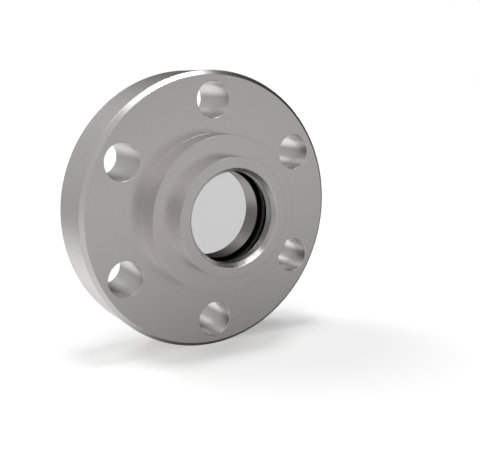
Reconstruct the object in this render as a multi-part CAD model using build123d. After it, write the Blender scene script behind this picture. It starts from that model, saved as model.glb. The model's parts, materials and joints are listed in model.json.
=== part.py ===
from build123d import *

import math
import os

# A small vacuum viewport: a bolted knife-edge flange with a stepped hub that carries a round window.
# Millimetres. The window's axis is Y: +Y points into the vacuum, -Y towards the person looking in.
# The origin is the bolt circle's centre on the sealing face, and +Z is up, with a bolt hole on top.

# Flange disc
FLANGE_DIAMETER = 33.8
FLANGE_THICKNESS = 7.1
RIM_CHAMFER = 0.5

# Bolt holes, with the wall between them and the rim, and between them and the gasket recess
BOLT_HOLE_DIAMETER = 4.35
BOLT_HOLE_COUNT = 6
FIRST_BOLT_ANGLE = 90.0
BOLT_RIM_WALL = 1.225
BOLT_RECESS_WALL = 0.625

# Hub on the air side, with its shoulder round the retainer, whose nose stands out of it
HUB_HEIGHT = 3.0
HUB_SHOULDER_WIDTH = 2.4
NOSE_HEIGHT = 2.0
RETAINER_WALL = 1.095
RETAINER_CLEARANCE = 0.02

# Sight hole through retainer, seal and flange
SIGHT_DIAMETER = 10.8
SIGHT_EDGE_BREAK = 0.1
MOUTH_CHAMFER_LENGTH = 0.75
MOUTH_CHAMFER_WIDTH = 0.43
LIP_THICKNESS = 1.7

# Window and the flat ring that seals its vacuum face, which both reach past the sight hole
GLASS_THICKNESS = 3.0
GLASS_CLEARANCE = 0.03
SEAL_WIDTH = 0.6
SEAL_THICKNESS = 0.2

# Knife edge, inwards from the wall of its gasket recess, with a shelf round the vacuum bore
KNIFE_FLANK_WIDTH = 1.55
KNIFE_FLANK_ANGLE = 20.0
KNIFE_TIP_DEPTH = 0.55
KNIFE_FOOT_DEPTH = 1.5
KNIFE_SHELF_WIDTH = 1.15

# Wall between the window and the vacuum bore
SEAT_WALL_THICKNESS = 2.75

# Leak-test grooves across the sealing face
LEAK_GROOVE_WIDTH = 1.6
LEAK_GROOVE_DEPTH = 1.0
LEAK_GROOVE_COUNT = 2
LEAK_GROOVE_ANGLE = 60.0

# Places along the axis, from the sealing face at 0 towards the air side
flange_front = -FLANGE_THICKNESS
hub_front = flange_front - HUB_HEIGHT
nose_front = hub_front - NOSE_HEIGHT
glass_front = nose_front + LIP_THICKNESS
glass_back = glass_front + GLASS_THICKNESS
seat = glass_back + SEAL_THICKNESS
vacuum_bore_floor = seat + SEAT_WALL_THICKNESS

# Radii inwards from the rim: bolt circle, gasket recess, knife edge and vacuum bore
flange_radius = FLANGE_DIAMETER / 2
bolt_hole_radius = BOLT_HOLE_DIAMETER / 2
bolt_circle_radius = flange_radius - BOLT_RIM_WALL - bolt_hole_radius
recess_radius = bolt_circle_radius - bolt_hole_radius - BOLT_RECESS_WALL
knife_radius = recess_radius - KNIFE_FLANK_WIDTH
vacuum_bore_radius = knife_radius - KNIFE_SHELF_WIDTH

# Radii outwards from the sight hole: window and seal, their pocket, the retainer's outside and the hub
sight_radius = SIGHT_DIAMETER / 2
glass_radius = sight_radius + SEAL_WIDTH
pocket_radius = glass_radius + GLASS_CLEARANCE
nose_radius = pocket_radius + RETAINER_WALL
hub_radius = nose_radius + HUB_SHOULDER_WIDTH


def turned(outline):
    """A solid turned about the window's axis, from its section as radius and place along the axis."""
    with BuildPart() as piece:
        with BuildSketch(Plane.XY):
            with BuildLine():
                Polyline(*outline, close=True)
            make_face()
        revolve(axis=Axis.Y)
    return piece.part


def flange_blank():
    """The turned flange: hub and window seat in front, wide bore and knife edge behind."""
    hub_pocket_radius = nose_radius + RETAINER_CLEARANCE
    flank_fall = KNIFE_FLANK_WIDTH * math.tan(math.radians(KNIFE_FLANK_ANGLE))
    return turned(
        [
            (sight_radius, seat),
            (hub_pocket_radius, seat),
            (hub_pocket_radius, hub_front),
            (hub_radius, hub_front),
            (hub_radius, flange_front),
            (flange_radius - RIM_CHAMFER, flange_front),
            (flange_radius, flange_front + RIM_CHAMFER),
            (flange_radius, -RIM_CHAMFER),
            (flange_radius - RIM_CHAMFER, 0),
            (recess_radius, 0),
            (recess_radius, -KNIFE_TIP_DEPTH - flank_fall),
            (knife_radius, -KNIFE_TIP_DEPTH),
            (knife_radius, -KNIFE_FOOT_DEPTH),
            (vacuum_bore_radius, -KNIFE_FOOT_DEPTH),
            (vacuum_bore_radius, vacuum_bore_floor),
            (sight_radius + SIGHT_EDGE_BREAK, vacuum_bore_floor),
            (sight_radius, vacuum_bore_floor - SIGHT_EDGE_BREAK),
        ]
    )


def flange():
    """The flange with its bolt holes, and the grooves that let a leak reach the outside."""
    groove_start = math.sqrt(recess_radius**2 - (LEAK_GROOVE_WIDTH / 2) ** 2)
    groove_end = flange_radius + RIM_CHAMFER
    groove_middle = (groove_start + groove_end) / 2
    with BuildPart() as piece:
        add(flange_blank())
        with BuildSketch(Plane.XZ):
            with PolarLocations(bolt_circle_radius, BOLT_HOLE_COUNT, start_angle=FIRST_BOLT_ANGLE):
                Circle(bolt_hole_radius)
        extrude(amount=FLANGE_THICKNESS, mode=Mode.SUBTRACT)
        with BuildSketch(Plane.XZ):
            with PolarLocations(groove_middle, LEAK_GROOVE_COUNT, start_angle=LEAK_GROOVE_ANGLE):
                Rectangle(groove_end - groove_start, LEAK_GROOVE_WIDTH)
        extrude(amount=LEAK_GROOVE_DEPTH, mode=Mode.SUBTRACT)
    return piece.part


def window_retainer():
    """The ring let into the hub: its lip holds the window's rim, and its mouth is chamfered."""
    return turned(
        [
            (nose_radius, nose_front),
            (nose_radius, seat),
            (pocket_radius, seat),
            (pocket_radius, glass_front),
            (sight_radius, glass_front),
            (sight_radius, nose_front + MOUTH_CHAMFER_LENGTH),
            (sight_radius + MOUTH_CHAMFER_WIDTH, nose_front),
        ]
    )


def window_glass():
    """The flat round window, between the retainer's lip and the seal."""
    return turned(
        [
            (0, glass_front),
            (glass_radius, glass_front),
            (glass_radius, glass_back),
            (0, glass_back),
        ]
    )


def window_seal():
    """The flat ring between the window's vacuum face and its seat in the flange."""
    return turned(
        [
            (sight_radius, glass_back),
            (glass_radius, glass_back),
            (glass_radius, seat),
            (sight_radius, seat),
        ]
    )


NODES = {
    "flange": flange,
    "window_retainer": window_retainer,
    "window_glass": window_glass,
    "window_seal": window_seal,
}

os.makedirs("parts", exist_ok=True)
for name, build in NODES.items():
    solid = build()
    print(name, round(solid.volume, 3), "cubic mm")
    export_step(solid, os.path.join("parts", f"{name}.step"))
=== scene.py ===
import json
import math

import bmesh
import bpy
from mathutils import Matrix, Vector


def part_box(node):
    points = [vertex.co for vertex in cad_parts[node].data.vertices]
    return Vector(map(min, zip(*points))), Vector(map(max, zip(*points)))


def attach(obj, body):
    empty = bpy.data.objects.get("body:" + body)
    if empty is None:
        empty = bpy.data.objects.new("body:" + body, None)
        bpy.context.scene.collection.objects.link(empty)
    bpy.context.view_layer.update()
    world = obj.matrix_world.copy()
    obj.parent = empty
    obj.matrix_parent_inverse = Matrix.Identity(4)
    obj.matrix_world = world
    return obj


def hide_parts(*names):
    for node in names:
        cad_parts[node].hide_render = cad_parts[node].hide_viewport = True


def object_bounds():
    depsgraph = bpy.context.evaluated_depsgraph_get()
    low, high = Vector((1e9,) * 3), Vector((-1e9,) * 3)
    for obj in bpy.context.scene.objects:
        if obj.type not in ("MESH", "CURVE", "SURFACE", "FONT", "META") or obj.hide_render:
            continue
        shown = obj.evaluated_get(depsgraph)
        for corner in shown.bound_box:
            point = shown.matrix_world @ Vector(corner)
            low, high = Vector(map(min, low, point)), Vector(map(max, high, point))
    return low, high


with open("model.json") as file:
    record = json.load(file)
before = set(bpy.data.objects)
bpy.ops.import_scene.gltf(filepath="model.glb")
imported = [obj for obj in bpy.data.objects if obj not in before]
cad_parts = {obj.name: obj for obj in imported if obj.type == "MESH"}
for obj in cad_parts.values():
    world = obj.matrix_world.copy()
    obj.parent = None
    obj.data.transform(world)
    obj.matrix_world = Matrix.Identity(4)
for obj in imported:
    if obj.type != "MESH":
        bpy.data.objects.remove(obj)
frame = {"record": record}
cad_low, cad_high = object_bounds()

# A small vacuum viewport, turned about the Y axis: -Y is the air side, +Y the vacuum side, +Z is up.
# Lengths are metres. An outline is a closed list of corners: a radius, a place along Y and, on some, an ease.
MM = 0.001

# Sizes and angles of the smaller features
RIM_CHAMFER = 0.5 * MM
MOUTH_CHAMFER_WIDTH = 0.43 * MM
SIGHT_EDGE_BREAK = 0.1 * MM
RETAINER_CLEARANCE = 0.004 * MM
GLASS_CLEARANCE = 0.03 * MM
KNIFE_FLANK_WIDTH = 1.55 * MM
KNIFE_FLANK_ANGLE = math.radians(20)
KNIFE_TIP_DEPTH = 0.55 * MM
KNIFE_TIP_EASE = 0.06 * MM
LEAK_GROOVE_WIDTH = 1.6 * MM
LEAK_GROOVE_DEPTH = 1.0 * MM
LEAK_GROOVE_ANGLES = (60, 240)
FIRST_BOLT_ANGLE = math.radians(90)
SEAL_BULGE = 0.05 * MM
EDGE_EASE = 0.03 * MM
MOUTH_EDGE_EASE = 0.06 * MM
OPTICAL_GAP = 0.01 * MM
# Painted shade: the front length of the window's edge is coloured black where the retainer's lip shades it.
PAINTED_SHADE_EDGE_LENGTH = 2.155 * MM

# Meshes: fineness, tests and welding, and how far the cutting shapes run out past the flange
TURNED_SEGMENTS = 288
HOLE_SEGMENTS = 144
EASE_STEPS = 3
SHARP_ANGLE = math.radians(3.4)
FLAT_NORMAL = 0.99
WELD_DISTANCE = 0.0001 * MM
HOLE_OVERRUN = 0.06 * MM
GROOVE_OVERRUN = 1 * MM

# Materials. A texture's scale is in repeats per metre, and a change is the share or amount either way.
STEEL = (0.68, 0.657, 0.644)
STEEL_COLOR_CHANGE = 0.015
STEEL_ROUGHNESS = 0.27
STEEL_ROUGHNESS_CHANGE = 0.02
STEEL_DETAIL = 2
TURNING_SCALE = 9000
GRAIN_SCALE = 22000
TURNING_SHARE = 0.1
STEEL_BUMP = 0.08
STEEL_BUMP_HEIGHT = 0.002 * MM
# Painted shade: the sight bore's walls get a darker colour, eased in between the two radii just past the
# bore.
BORE_PAINTED_SHADE = 0.68
BORE_PAINTED_SHADE_FROM = 0.02 * MM
BORE_PAINTED_SHADE_TO = 0.06 * MM
GLASS_IOR = 1.5
GLASS_TINT = 0.55
GLASS_TINT_CHANGE = 0.005
GLASS_TINT_SCALE = 150
GLASS_TINT_DETAIL = 1
GROUND_EDGE_GREY = 0.25
PAINTED_SHADE_EDGE_GREY = 0.002
GROUND_EDGE_CHANGE = 0.15
GROUND_EDGE_SCALE = 20000
GROUND_EDGE_DETAIL = 2
GROUND_EDGE_ROUGHNESS = 0.6
GROUND_EDGE_SHINE = 0.5
SEAL_GREY = 0.002
SEAL_GREY_CHANGE = 0.3
SEAL_SCALE = 8000
SEAL_DETAIL = 3
SEAL_ROUGHNESS = 0.8
SEAL_SHINE = 0.02

# Floor
FLOOR_SIZE = 6.0
FLOOR_GREY = 0.95
FLOOR_ROUGHNESS = 0.9
FLOOR_GLOW = 0.25

# Soft lights all round the object: name, azimuth, elevation and spread in degrees, and strength.
# Azimuth 0 is in front of the object, 90 to the right as seen from there. A light ends at its spread.
STEADY_LIGHT = 0.05
SOFT_LIGHTS = (
    ("overhead", 0, 90, 10, 15),
    ("high right", 65, 70, 10, 6),
    ("high left", -65, 70, 10, 3.8),
    ("high back left", -145, 50, 20, 4.3),
    ("wide left", -60, 20, 55, 0.52),
    ("wide front", 0, 40, 50, 0.62),
    ("wide back", -155, 20, 55, 0.46),
    ("low front right", 35, -5, 20, 0.56),
    ("low front", 5, -15, 25, 0.57),
    ("lowest front", 15, -55, 20, 0.45),
    ("low front left", -45, -45, 55, 0.81),
    ("low back left", -145, -45, 40, 1.3),
    ("low back", 165, -20, 30, 0.66),
)

# Camera, at the photograph's viewing angle. Angles are in degrees.
VIEW_AZIMUTH = -31.785
VIEW_ELEVATION = 11.114
VIEW_DISTANCE = 90.232 * MM
VIEW_CENTRE = Vector((3.688, -7.1, -1.973)) * MM
CAMERA_LENS = 54.382
CAMERA_SENSOR_WIDTH = 36
CAMERA_NEAR = 1 * MM
CAMERA_FAR = 10

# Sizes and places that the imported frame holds
mounts = {mount["name"]: mount for mount in frame["record"]["mounts"]}
flange_low, flange_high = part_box("flange")
retainer_low, retainer_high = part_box("window_retainer")
glass_low, glass_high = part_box("window_glass")
seal_low, seal_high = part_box("window_seal")


def stated(mount, size):
    """A size of one of the record's mounts, in metres."""
    return mounts[mount]["dims"][size] * MM


def wall_ends(mount):
    """The two ends along Y of a round wall that the record states as a mount, the lower first."""
    middle = mounts[mount]["pos_m"][1]
    half = stated(mount, "length_mm") / 2
    return middle - half, middle + half


flange_radius = min(flange_high.x, -flange_low.x, flange_high.z, -flange_low.z)
hub_radius = stated("hub", "r_mm")
bolt_circle_radius = stated("bolt_circle", "pcd_mm") / 2
bolt_hole_radius = stated("bolt_circle", "hole_r_mm")
bolt_hole_count = mounts["bolt_circle"]["dims"]["count"]
recess_radius = stated("gasket_recess", "r_mm")
vacuum_bore_radius = stated("vacuum_bore", "r_mm")
vacuum_bore_floor, knife_foot = wall_ends("vacuum_bore")
sight_radius = stated("sight_bore", "r_mm")
mouth_end = wall_ends("sight_bore")[0]
hub_front, flange_front = wall_ends("hub")
sealing_face = flange_high.y
nose_radius = retainer_high.x
nose_front = retainer_low.y
seat = retainer_high.y
glass_radius = glass_high.x


def eased(outline):
    """The outline with each corner that has a third value, its ease, rounded over that length."""
    points = []
    for index, corner in enumerate(outline):
        here = Vector(corner[:2])
        ease = corner[2] if len(corner) == 3 else 0
        if not ease:
            points.append(here)
            continue
        before = Vector(outline[index - 1][:2])
        after = Vector(outline[(index + 1) % len(outline)][:2])
        start = here + (before - here).normalized() * ease
        end = here + (after - here).normalized() * ease
        for step in range(EASE_STEPS + 1):
            share = step / EASE_STEPS
            points.append(start.lerp(here, share).lerp(here.lerp(end, share), share))
    return points


def turned(name, outline, segments=TURNED_SEGMENTS, centre=(0, 0)):
    """A mesh object turned about the line along Y through centre, which is a place in X and Z."""
    shape = bmesh.new()
    rings = []
    for radius, place in eased(outline):
        if radius == 0:
            rings.append([shape.verts.new((centre[0], place, centre[1]))] * segments)
            continue
        ring = []
        for step in range(segments):
            turn = math.tau * step / segments
            x = centre[0] + radius * math.cos(turn)
            z = centre[1] + radius * math.sin(turn)
            ring.append(shape.verts.new((x, place, z)))
        rings.append(ring)
    for index, ring in enumerate(rings):
        following = rings[(index + 1) % len(rings)]
        for step in range(segments):
            after = (step + 1) % segments
            corners = [ring[step], ring[after], following[after], following[step]]
            corners = list(dict.fromkeys(corners))
            if len(corners) > 2:
                shape.faces.new(corners)
    bmesh.ops.recalc_face_normals(shape, faces=shape.faces)
    return finished(name, shape)


def block(name, low, high):
    """A plain box between two corners, used only to cut with."""
    shape = bmesh.new()
    bmesh.ops.create_cube(shape, size=1)
    size = Vector(high) - Vector(low)
    middle = (Vector(high) + Vector(low)) / 2
    bmesh.ops.scale(shape, vec=size, verts=shape.verts)
    bmesh.ops.translate(shape, vec=middle, verts=shape.verts)
    return finished(name, shape)


def finished(name, shape):
    """The bmesh as an object in the scene."""
    mesh = bpy.data.meshes.new(name)
    shape.to_mesh(mesh)
    shape.free()
    thing = bpy.data.objects.new(name, mesh)
    bpy.context.scene.collection.objects.link(thing)
    return thing


def cut(thing, tools):
    """Takes the tools out of the thing, welds the corners that fall together, and deletes the tools."""
    for tool in tools:
        modifier = thing.modifiers.new(tool.name, "BOOLEAN")
        modifier.operation = "DIFFERENCE"
        modifier.solver = "EXACT"
        modifier.object = tool
    bpy.context.view_layer.update()
    seen = thing.evaluated_get(bpy.context.evaluated_depsgraph_get())
    mesh = bpy.data.meshes.new_from_object(seen)
    shape = bmesh.new()
    shape.from_mesh(mesh)
    bmesh.ops.remove_doubles(shape, verts=shape.verts, dist=WELD_DISTANCE)
    shape.to_mesh(mesh)
    shape.free()
    thing.modifiers.clear()
    thing.data = mesh
    for tool in tools:
        bpy.data.objects.remove(tool)


def shaded(thing):
    """Smooth over the turned walls, and crisp at the edges between faces."""
    for face in thing.data.polygons:
        face.use_smooth = True
    thing.data.set_sharp_from_angle(angle=SHARP_ANGLE)
    return thing


def bolt_hole_tool(index):
    """The shape of one bolt hole with eased rims, running out past both faces of the flange."""
    turn = math.tau * index / bolt_hole_count + FIRST_BOLT_ANGLE
    centre = (bolt_circle_radius * math.cos(turn), bolt_circle_radius * math.sin(turn))
    flare = bolt_hole_radius + EDGE_EASE + HOLE_OVERRUN
    outline = [
        (0, flange_front - HOLE_OVERRUN),
        (flare, flange_front - HOLE_OVERRUN),
        (bolt_hole_radius, flange_front + EDGE_EASE),
        (bolt_hole_radius, sealing_face - EDGE_EASE),
        (flare, sealing_face + HOLE_OVERRUN),
        (0, sealing_face + HOLE_OVERRUN),
    ]
    return turned(f"bolt_hole_tool_{index}", outline, HOLE_SEGMENTS, centre)


def leak_groove_tool(degrees):
    """The shape of one leak-test groove, from the gasket recess out past the rim."""
    half = LEAK_GROOVE_WIDTH / 2
    inner = math.sqrt(recess_radius**2 - half**2)
    low = (inner, sealing_face - LEAK_GROOVE_DEPTH, -half)
    high = (flange_radius + GROOVE_OVERRUN, sealing_face + GROOVE_OVERRUN, half)
    tool = block(f"leak_groove_tool_{degrees}", low, high)
    tool.data.transform(Matrix.Rotation(-math.radians(degrees), 4, "Y"))
    return tool


def make_flange():
    """The turned flange with its hub, knife edge, bolt holes and leak-test grooves."""
    pocket = nose_radius + RETAINER_CLEARANCE
    knife_radius = recess_radius - KNIFE_FLANK_WIDTH
    recess_floor = sealing_face - KNIFE_TIP_DEPTH - KNIFE_FLANK_WIDTH * math.tan(KNIFE_FLANK_ANGLE)
    outline = [
        (sight_radius, seat),
        (pocket, seat),
        (pocket, hub_front),
        (hub_radius, hub_front, EDGE_EASE),
        (hub_radius, flange_front, EDGE_EASE),
        (flange_radius - RIM_CHAMFER, flange_front, EDGE_EASE),
        (flange_radius, flange_front + RIM_CHAMFER, EDGE_EASE),
        (flange_radius, sealing_face - RIM_CHAMFER, EDGE_EASE),
        (flange_radius - RIM_CHAMFER, sealing_face, EDGE_EASE),
        (recess_radius, sealing_face, EDGE_EASE),
        (recess_radius, recess_floor),
        (knife_radius, sealing_face - KNIFE_TIP_DEPTH, KNIFE_TIP_EASE),
        (knife_radius, knife_foot),
        (vacuum_bore_radius, knife_foot, EDGE_EASE),
        (vacuum_bore_radius, vacuum_bore_floor, EDGE_EASE),
        (sight_radius + SIGHT_EDGE_BREAK, vacuum_bore_floor),
        (sight_radius, vacuum_bore_floor - SIGHT_EDGE_BREAK),
    ]
    body = turned("flange_body", outline)
    holes = [bolt_hole_tool(index) for index in range(bolt_hole_count)]
    grooves = [leak_groove_tool(degrees) for degrees in LEAK_GROOVE_ANGLES]
    cut(body, holes + grooves)
    return shaded(body)


def make_retainer():
    """The ring let into the hub, with the window's pocket behind its lip."""
    pocket = glass_radius + GLASS_CLEARANCE
    outline = [
        (nose_radius, nose_front, EDGE_EASE),
        (nose_radius, seat),
        (pocket, seat),
        (pocket, glass_low.y),
        (sight_radius, glass_low.y),
        (sight_radius, mouth_end, EDGE_EASE),
        (sight_radius + MOUTH_CHAMFER_WIDTH, nose_front, MOUTH_EDGE_EASE),
    ]
    return shaded(turned("retainer_ring", outline))


def make_glass():
    """The flat window. Its second material is the ground edge, its third the front of that edge, painted
    black as the shade under the retainer's lip.
    """
    front = glass_low.y + OPTICAL_GAP
    back = glass_high.y - OPTICAL_GAP
    # Painted shade: the edge's faces in front of this place are black, standing in for the lip's shade.
    painted_shade_edge_end = glass_low.y + PAINTED_SHADE_EDGE_LENGTH
    outline = [
        (0, front),
        (glass_radius, front, EDGE_EASE),
        (glass_radius, painted_shade_edge_end),
        (glass_radius, back, EDGE_EASE),
        (0, back),
    ]
    pane = shaded(turned("window_pane", outline))
    for face in pane.data.polygons:
        if abs(face.normal.y) < FLAT_NORMAL:
            face.material_index = 2 if face.center.y < painted_shade_edge_end else 1
    return pane


def make_seal():
    """The flat black ring behind the window, pressed a little way into the sight hole."""
    inner = sight_radius - SEAL_BULGE
    front = seal_low.y + OPTICAL_GAP
    outline = [
        (inner, front),
        (glass_radius, front),
        (glass_radius, seal_high.y),
        (inner, seal_high.y),
    ]
    return shaded(turned("seal_ring", outline))


def material(name):
    """A new material, its node tree and its shader."""
    made = bpy.data.materials.new(name)
    made.use_nodes = True
    return made, made.node_tree, made.node_tree.nodes["Principled BSDF"]


def node(tree, kind, **settings):
    """A new node of a kind, with its settings."""
    made = tree.nodes.new(kind)
    for key, value in settings.items():
        setattr(made, key, value)
    return made


def object_position(tree):
    """The place on the object, in metres."""
    return node(tree, "ShaderNodeTexCoord").outputs["Object"]


def math_node(tree, operation, first, second):
    """A Math node on two links or numbers. Returns its output."""
    made = node(tree, "ShaderNodeMath", operation=operation)
    for socket, value in zip(made.inputs, (first, second)):
        if isinstance(value, bpy.types.NodeSocket):
            tree.links.new(value, socket)
        else:
            socket.default_value = value
    return made.outputs[0]


def noise(tree, vector, scale, detail):
    """A noise texture's value, from 0 to 1."""
    made = node(tree, "ShaderNodeTexNoise")
    made.inputs["Scale"].default_value = scale
    made.inputs["Detail"].default_value = detail
    tree.links.new(vector, made.inputs["Vector"])
    return made.outputs["Fac"]


def turning_vector(tree, position):
    """A vector that changes only with the radius and the place along Y, as marks of turning do."""
    flat = node(tree, "ShaderNodeVectorMath", operation="MULTIPLY")
    tree.links.new(position, flat.inputs[0])
    flat.inputs[1].default_value = (1, 0, 1)
    radius = node(tree, "ShaderNodeVectorMath", operation="LENGTH")
    tree.links.new(flat.outputs[0], radius.inputs[0])
    joined = node(tree, "ShaderNodeCombineXYZ")
    tree.links.new(radius.outputs["Value"], joined.inputs[0])
    tree.links.new(split_axes(tree, position)["Y"], joined.inputs[1])
    return joined.outputs[0]


def split_axes(tree, vector):
    """The outputs X, Y and Z of a vector."""
    made = node(tree, "ShaderNodeSeparateXYZ")
    tree.links.new(vector, made.inputs[0])
    return made.outputs


def step_between(tree, value, start, end, before, after):
    """A smooth step from one number to another while the value goes from start to end."""
    made = node(tree, "ShaderNodeMapRange", interpolation_type="SMOOTHSTEP")
    tree.links.new(value, made.inputs["Value"])
    made.inputs["From Min"].default_value = start
    made.inputs["From Max"].default_value = end
    made.inputs["To Min"].default_value = before
    made.inputs["To Max"].default_value = after
    return made.outputs[0]


def varied(tree, value, middle, change):
    """The value, from 0 to 1, turned into one that runs from middle less change to middle plus change."""
    made = node(tree, "ShaderNodeMapRange")
    made.inputs["To Min"].default_value = middle - change
    made.inputs["To Max"].default_value = middle + change
    tree.links.new(value, made.inputs["Value"])
    return made.outputs[0]


def tinted(tree, color, share):
    """The colour times a share, where 1 leaves it as it is."""
    made = node(tree, "ShaderNodeVectorMath", operation="SCALE")
    made.inputs[0].default_value = color
    tree.links.new(share, made.inputs["Scale"])
    return made.outputs[0]


def steel(name):
    """Fine turned stainless steel: a satin grain, faint rings, and painted shade that darkens the colour of
    the sight bore's walls.
    """
    made, tree, shader = material(name)
    position = object_position(tree)
    turning = turning_vector(tree, position)
    rings = noise(tree, turning, TURNING_SCALE, STEEL_DETAIL)
    grain = noise(tree, position, GRAIN_SCALE, STEEL_DETAIL)
    rings_share = math_node(tree, "MULTIPLY", rings, TURNING_SHARE)
    grain_share = math_node(tree, "MULTIPLY", grain, 1 - TURNING_SHARE)
    marks = math_node(tree, "ADD", rings_share, grain_share)

    radius = split_axes(tree, turning)["X"]
    bore_shade_start = sight_radius + BORE_PAINTED_SHADE_FROM
    bore_shade_end = sight_radius + BORE_PAINTED_SHADE_TO
    # Painted shade: the colour is darkened on the sight bore's walls.
    bore_painted_shade = step_between(tree, radius, bore_shade_start, bore_shade_end, BORE_PAINTED_SHADE, 1)
    marked = varied(tree, marks, 1, STEEL_COLOR_CHANGE)
    color = tinted(tree, STEEL, math_node(tree, "MULTIPLY", marked, bore_painted_shade))
    tree.links.new(color, shader.inputs["Base Color"])

    rough = varied(tree, marks, STEEL_ROUGHNESS, STEEL_ROUGHNESS_CHANGE)
    tree.links.new(rough, shader.inputs["Roughness"])
    shader.inputs["Metallic"].default_value = 1

    bump = node(tree, "ShaderNodeBump")
    bump.inputs["Strength"].default_value = STEEL_BUMP
    bump.inputs["Distance"].default_value = STEEL_BUMP_HEIGHT
    tree.links.new(marks, bump.inputs["Height"])
    tree.links.new(bump.outputs[0], shader.inputs["Normal"])
    return made


def clear_glass():
    """Polished window glass with a light grey tint, a little uneven."""
    made, tree, shader = material("window_glass_polished")
    uneven = noise(tree, object_position(tree), GLASS_TINT_SCALE, GLASS_TINT_DETAIL)
    tint = tinted(tree, (GLASS_TINT,) * 3, varied(tree, uneven, 1, GLASS_TINT_CHANGE))
    tree.links.new(tint, shader.inputs["Base Color"])
    shader.inputs["Transmission Weight"].default_value = 1
    shader.inputs["Roughness"].default_value = 0
    shader.inputs["IOR"].default_value = GLASS_IOR
    shader.inputs["Specular Tint"].default_value = (0, 0, 0, 1)
    return made


def ground_edge(name, grey, shine):
    """The window's ground rim, in a grey and with a strength of shine."""
    made, tree, shader = material(name)
    grain = noise(tree, object_position(tree), GROUND_EDGE_SCALE, GROUND_EDGE_DETAIL)
    color = tinted(tree, (grey,) * 3, varied(tree, grain, 1, GROUND_EDGE_CHANGE))
    tree.links.new(color, shader.inputs["Base Color"])
    shader.inputs["Roughness"].default_value = GROUND_EDGE_ROUGHNESS
    shader.inputs["Specular IOR Level"].default_value = shine
    return made


def black_seal():
    """Matt black seal ring."""
    made, tree, shader = material("seal_matt_black")
    grain = noise(tree, object_position(tree), SEAL_SCALE, SEAL_DETAIL)
    color = tinted(tree, (SEAL_GREY,) * 3, varied(tree, grain, 1, SEAL_GREY_CHANGE))
    tree.links.new(color, shader.inputs["Base Color"])
    shader.inputs["Roughness"].default_value = SEAL_ROUGHNESS
    shader.inputs["Specular IOR Level"].default_value = SEAL_SHINE
    return made


def towards(azimuth, elevation):
    """A unit vector at an azimuth and an elevation in degrees, counted as the lights' are."""
    turn = math.radians(azimuth)
    rise = math.radians(elevation)
    return Vector((math.sin(turn) * math.cos(rise), -math.cos(turn) * math.cos(rise), math.sin(rise)))


def shown_plainly(tree):
    """1 where the camera itself sees the floor or the world, straight or through the glass."""
    path = node(tree, "ShaderNodeLightPath")
    before_metal = math_node(tree, "LESS_THAN", path.outputs["Glossy Depth"], 1)
    through_glass = math_node(tree, "MULTIPLY", path.outputs["Is Transmission Ray"], before_metal)
    return math_node(tree, "MAXIMUM", path.outputs["Is Camera Ray"], through_glass)


def make_floor():
    """A wide pale floor under the rim, which keeps the object's shadow. It is hidden from the metal's
    mirror rays and casts no shadow of its own, so the metal mirrors the lights below it instead."""
    shape = bmesh.new()
    bmesh.ops.create_grid(shape, x_segments=1, y_segments=1, size=FLOOR_SIZE / 2)
    floor = finished("floor", shape)
    floor.location.z = cad_low.z
    floor.visible_glossy = False
    floor.visible_shadow = False
    made, tree, shader = material("pale_floor")
    shader.inputs["Base Color"].default_value = (FLOOR_GREY, FLOOR_GREY, FLOOR_GREY, 1)
    shader.inputs["Roughness"].default_value = FLOOR_ROUGHNESS
    shader.inputs["Specular IOR Level"].default_value = 0
    shader.inputs["Emission Color"].default_value = (1, 1, 1, 1)
    glow = math_node(tree, "MULTIPLY", shown_plainly(tree), FLOOR_GLOW)
    tree.links.new(glow, shader.inputs["Emission Strength"])
    floor.data.materials.append(made)


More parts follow.
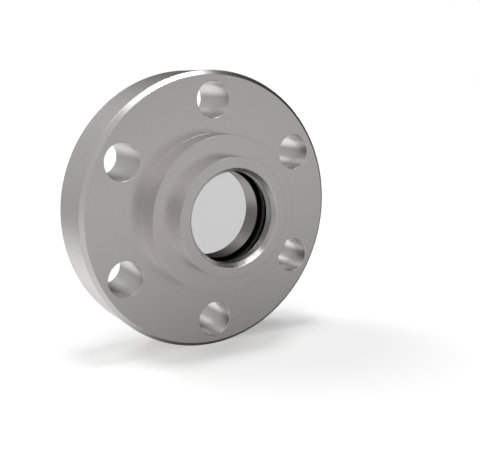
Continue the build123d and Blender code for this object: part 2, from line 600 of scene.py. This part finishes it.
def make_world():
    """Soft lights all round the object, and plain white where the background is seen."""
    world = bpy.data.worlds.new("studio")
    bpy.context.scene.world = world
    world.use_nodes = True
    tree = world.node_tree
    direction = node(tree, "ShaderNodeTexCoord").outputs["Generated"]
    total = STEADY_LIGHT
    for name, azimuth, elevation, spread, strength in SOFT_LIGHTS:
        nearness = node(tree, "ShaderNodeVectorMath", operation="DOT_PRODUCT")
        nearness.label = name
        tree.links.new(direction, nearness.inputs[0])
        nearness.inputs[1].default_value = towards(azimuth, elevation)
        edge = math.cos(math.radians(spread))
        light = step_between(tree, nearness.outputs["Value"], edge, 1, 0, strength)
        total = math_node(tree, "ADD", light, total)
    mix = node(tree, "ShaderNodeMix", data_type="FLOAT")
    tree.links.new(shown_plainly(tree), mix.inputs["Factor"])
    tree.links.new(total, mix.inputs["A"])
    mix.inputs["B"].default_value = 1
    background = tree.nodes["Background"]
    background.inputs["Color"].default_value = (1, 1, 1, 1)
    tree.links.new(mix.outputs[0], background.inputs["Strength"])


def make_camera():
    """The camera, looking at the view's centre."""
    back = towards(VIEW_AZIMUTH, VIEW_ELEVATION)
    data = bpy.data.cameras.new("camera")
    data.sensor_width = CAMERA_SENSOR_WIDTH
    data.lens = CAMERA_LENS
    data.clip_start = CAMERA_NEAR
    data.clip_end = CAMERA_FAR
    camera = bpy.data.objects.new("camera", data)
    bpy.context.scene.collection.objects.link(camera)
    camera.location = VIEW_CENTRE + back * VIEW_DISTANCE
    camera.rotation_mode = "QUATERNION"
    camera.rotation_quaternion = (-back).to_track_quat("-Z", "Y")
    bpy.context.scene.camera = camera


# The four pieces, their materials and the nodes that they replace
flange = make_flange()
flange.data.materials.append(steel("flange_turned_steel"))
retainer = make_retainer()
retainer.data.materials.append(steel("retainer_turned_steel"))
pane = make_glass()
pane.data.materials.append(clear_glass())
pane.data.materials.append(ground_edge("window_glass_ground_edge", GROUND_EDGE_GREY, GROUND_EDGE_SHINE))
# Painted shade: a black material on the front of the window's edge, where the retainer's lip shades it.
pane.data.materials.append(ground_edge("window_glass_painted_shade_edge", PAINTED_SHADE_EDGE_GREY, 0))
seal = make_seal()
seal.data.materials.append(black_seal())

for piece, node_name, slot_name in (
    (flange, "flange", "flange_steel"),
    (retainer, "window_retainer", "retainer_steel"),
    (pane, "window_glass", "window_glass"),
    (seal, "window_seal", "seal_black"),
):
    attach(piece, "root")
    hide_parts(node_name)

# Floor, light and camera
make_floor()
make_world()
make_camera()
bpy.context.scene.view_settings.view_transform = "Standard"
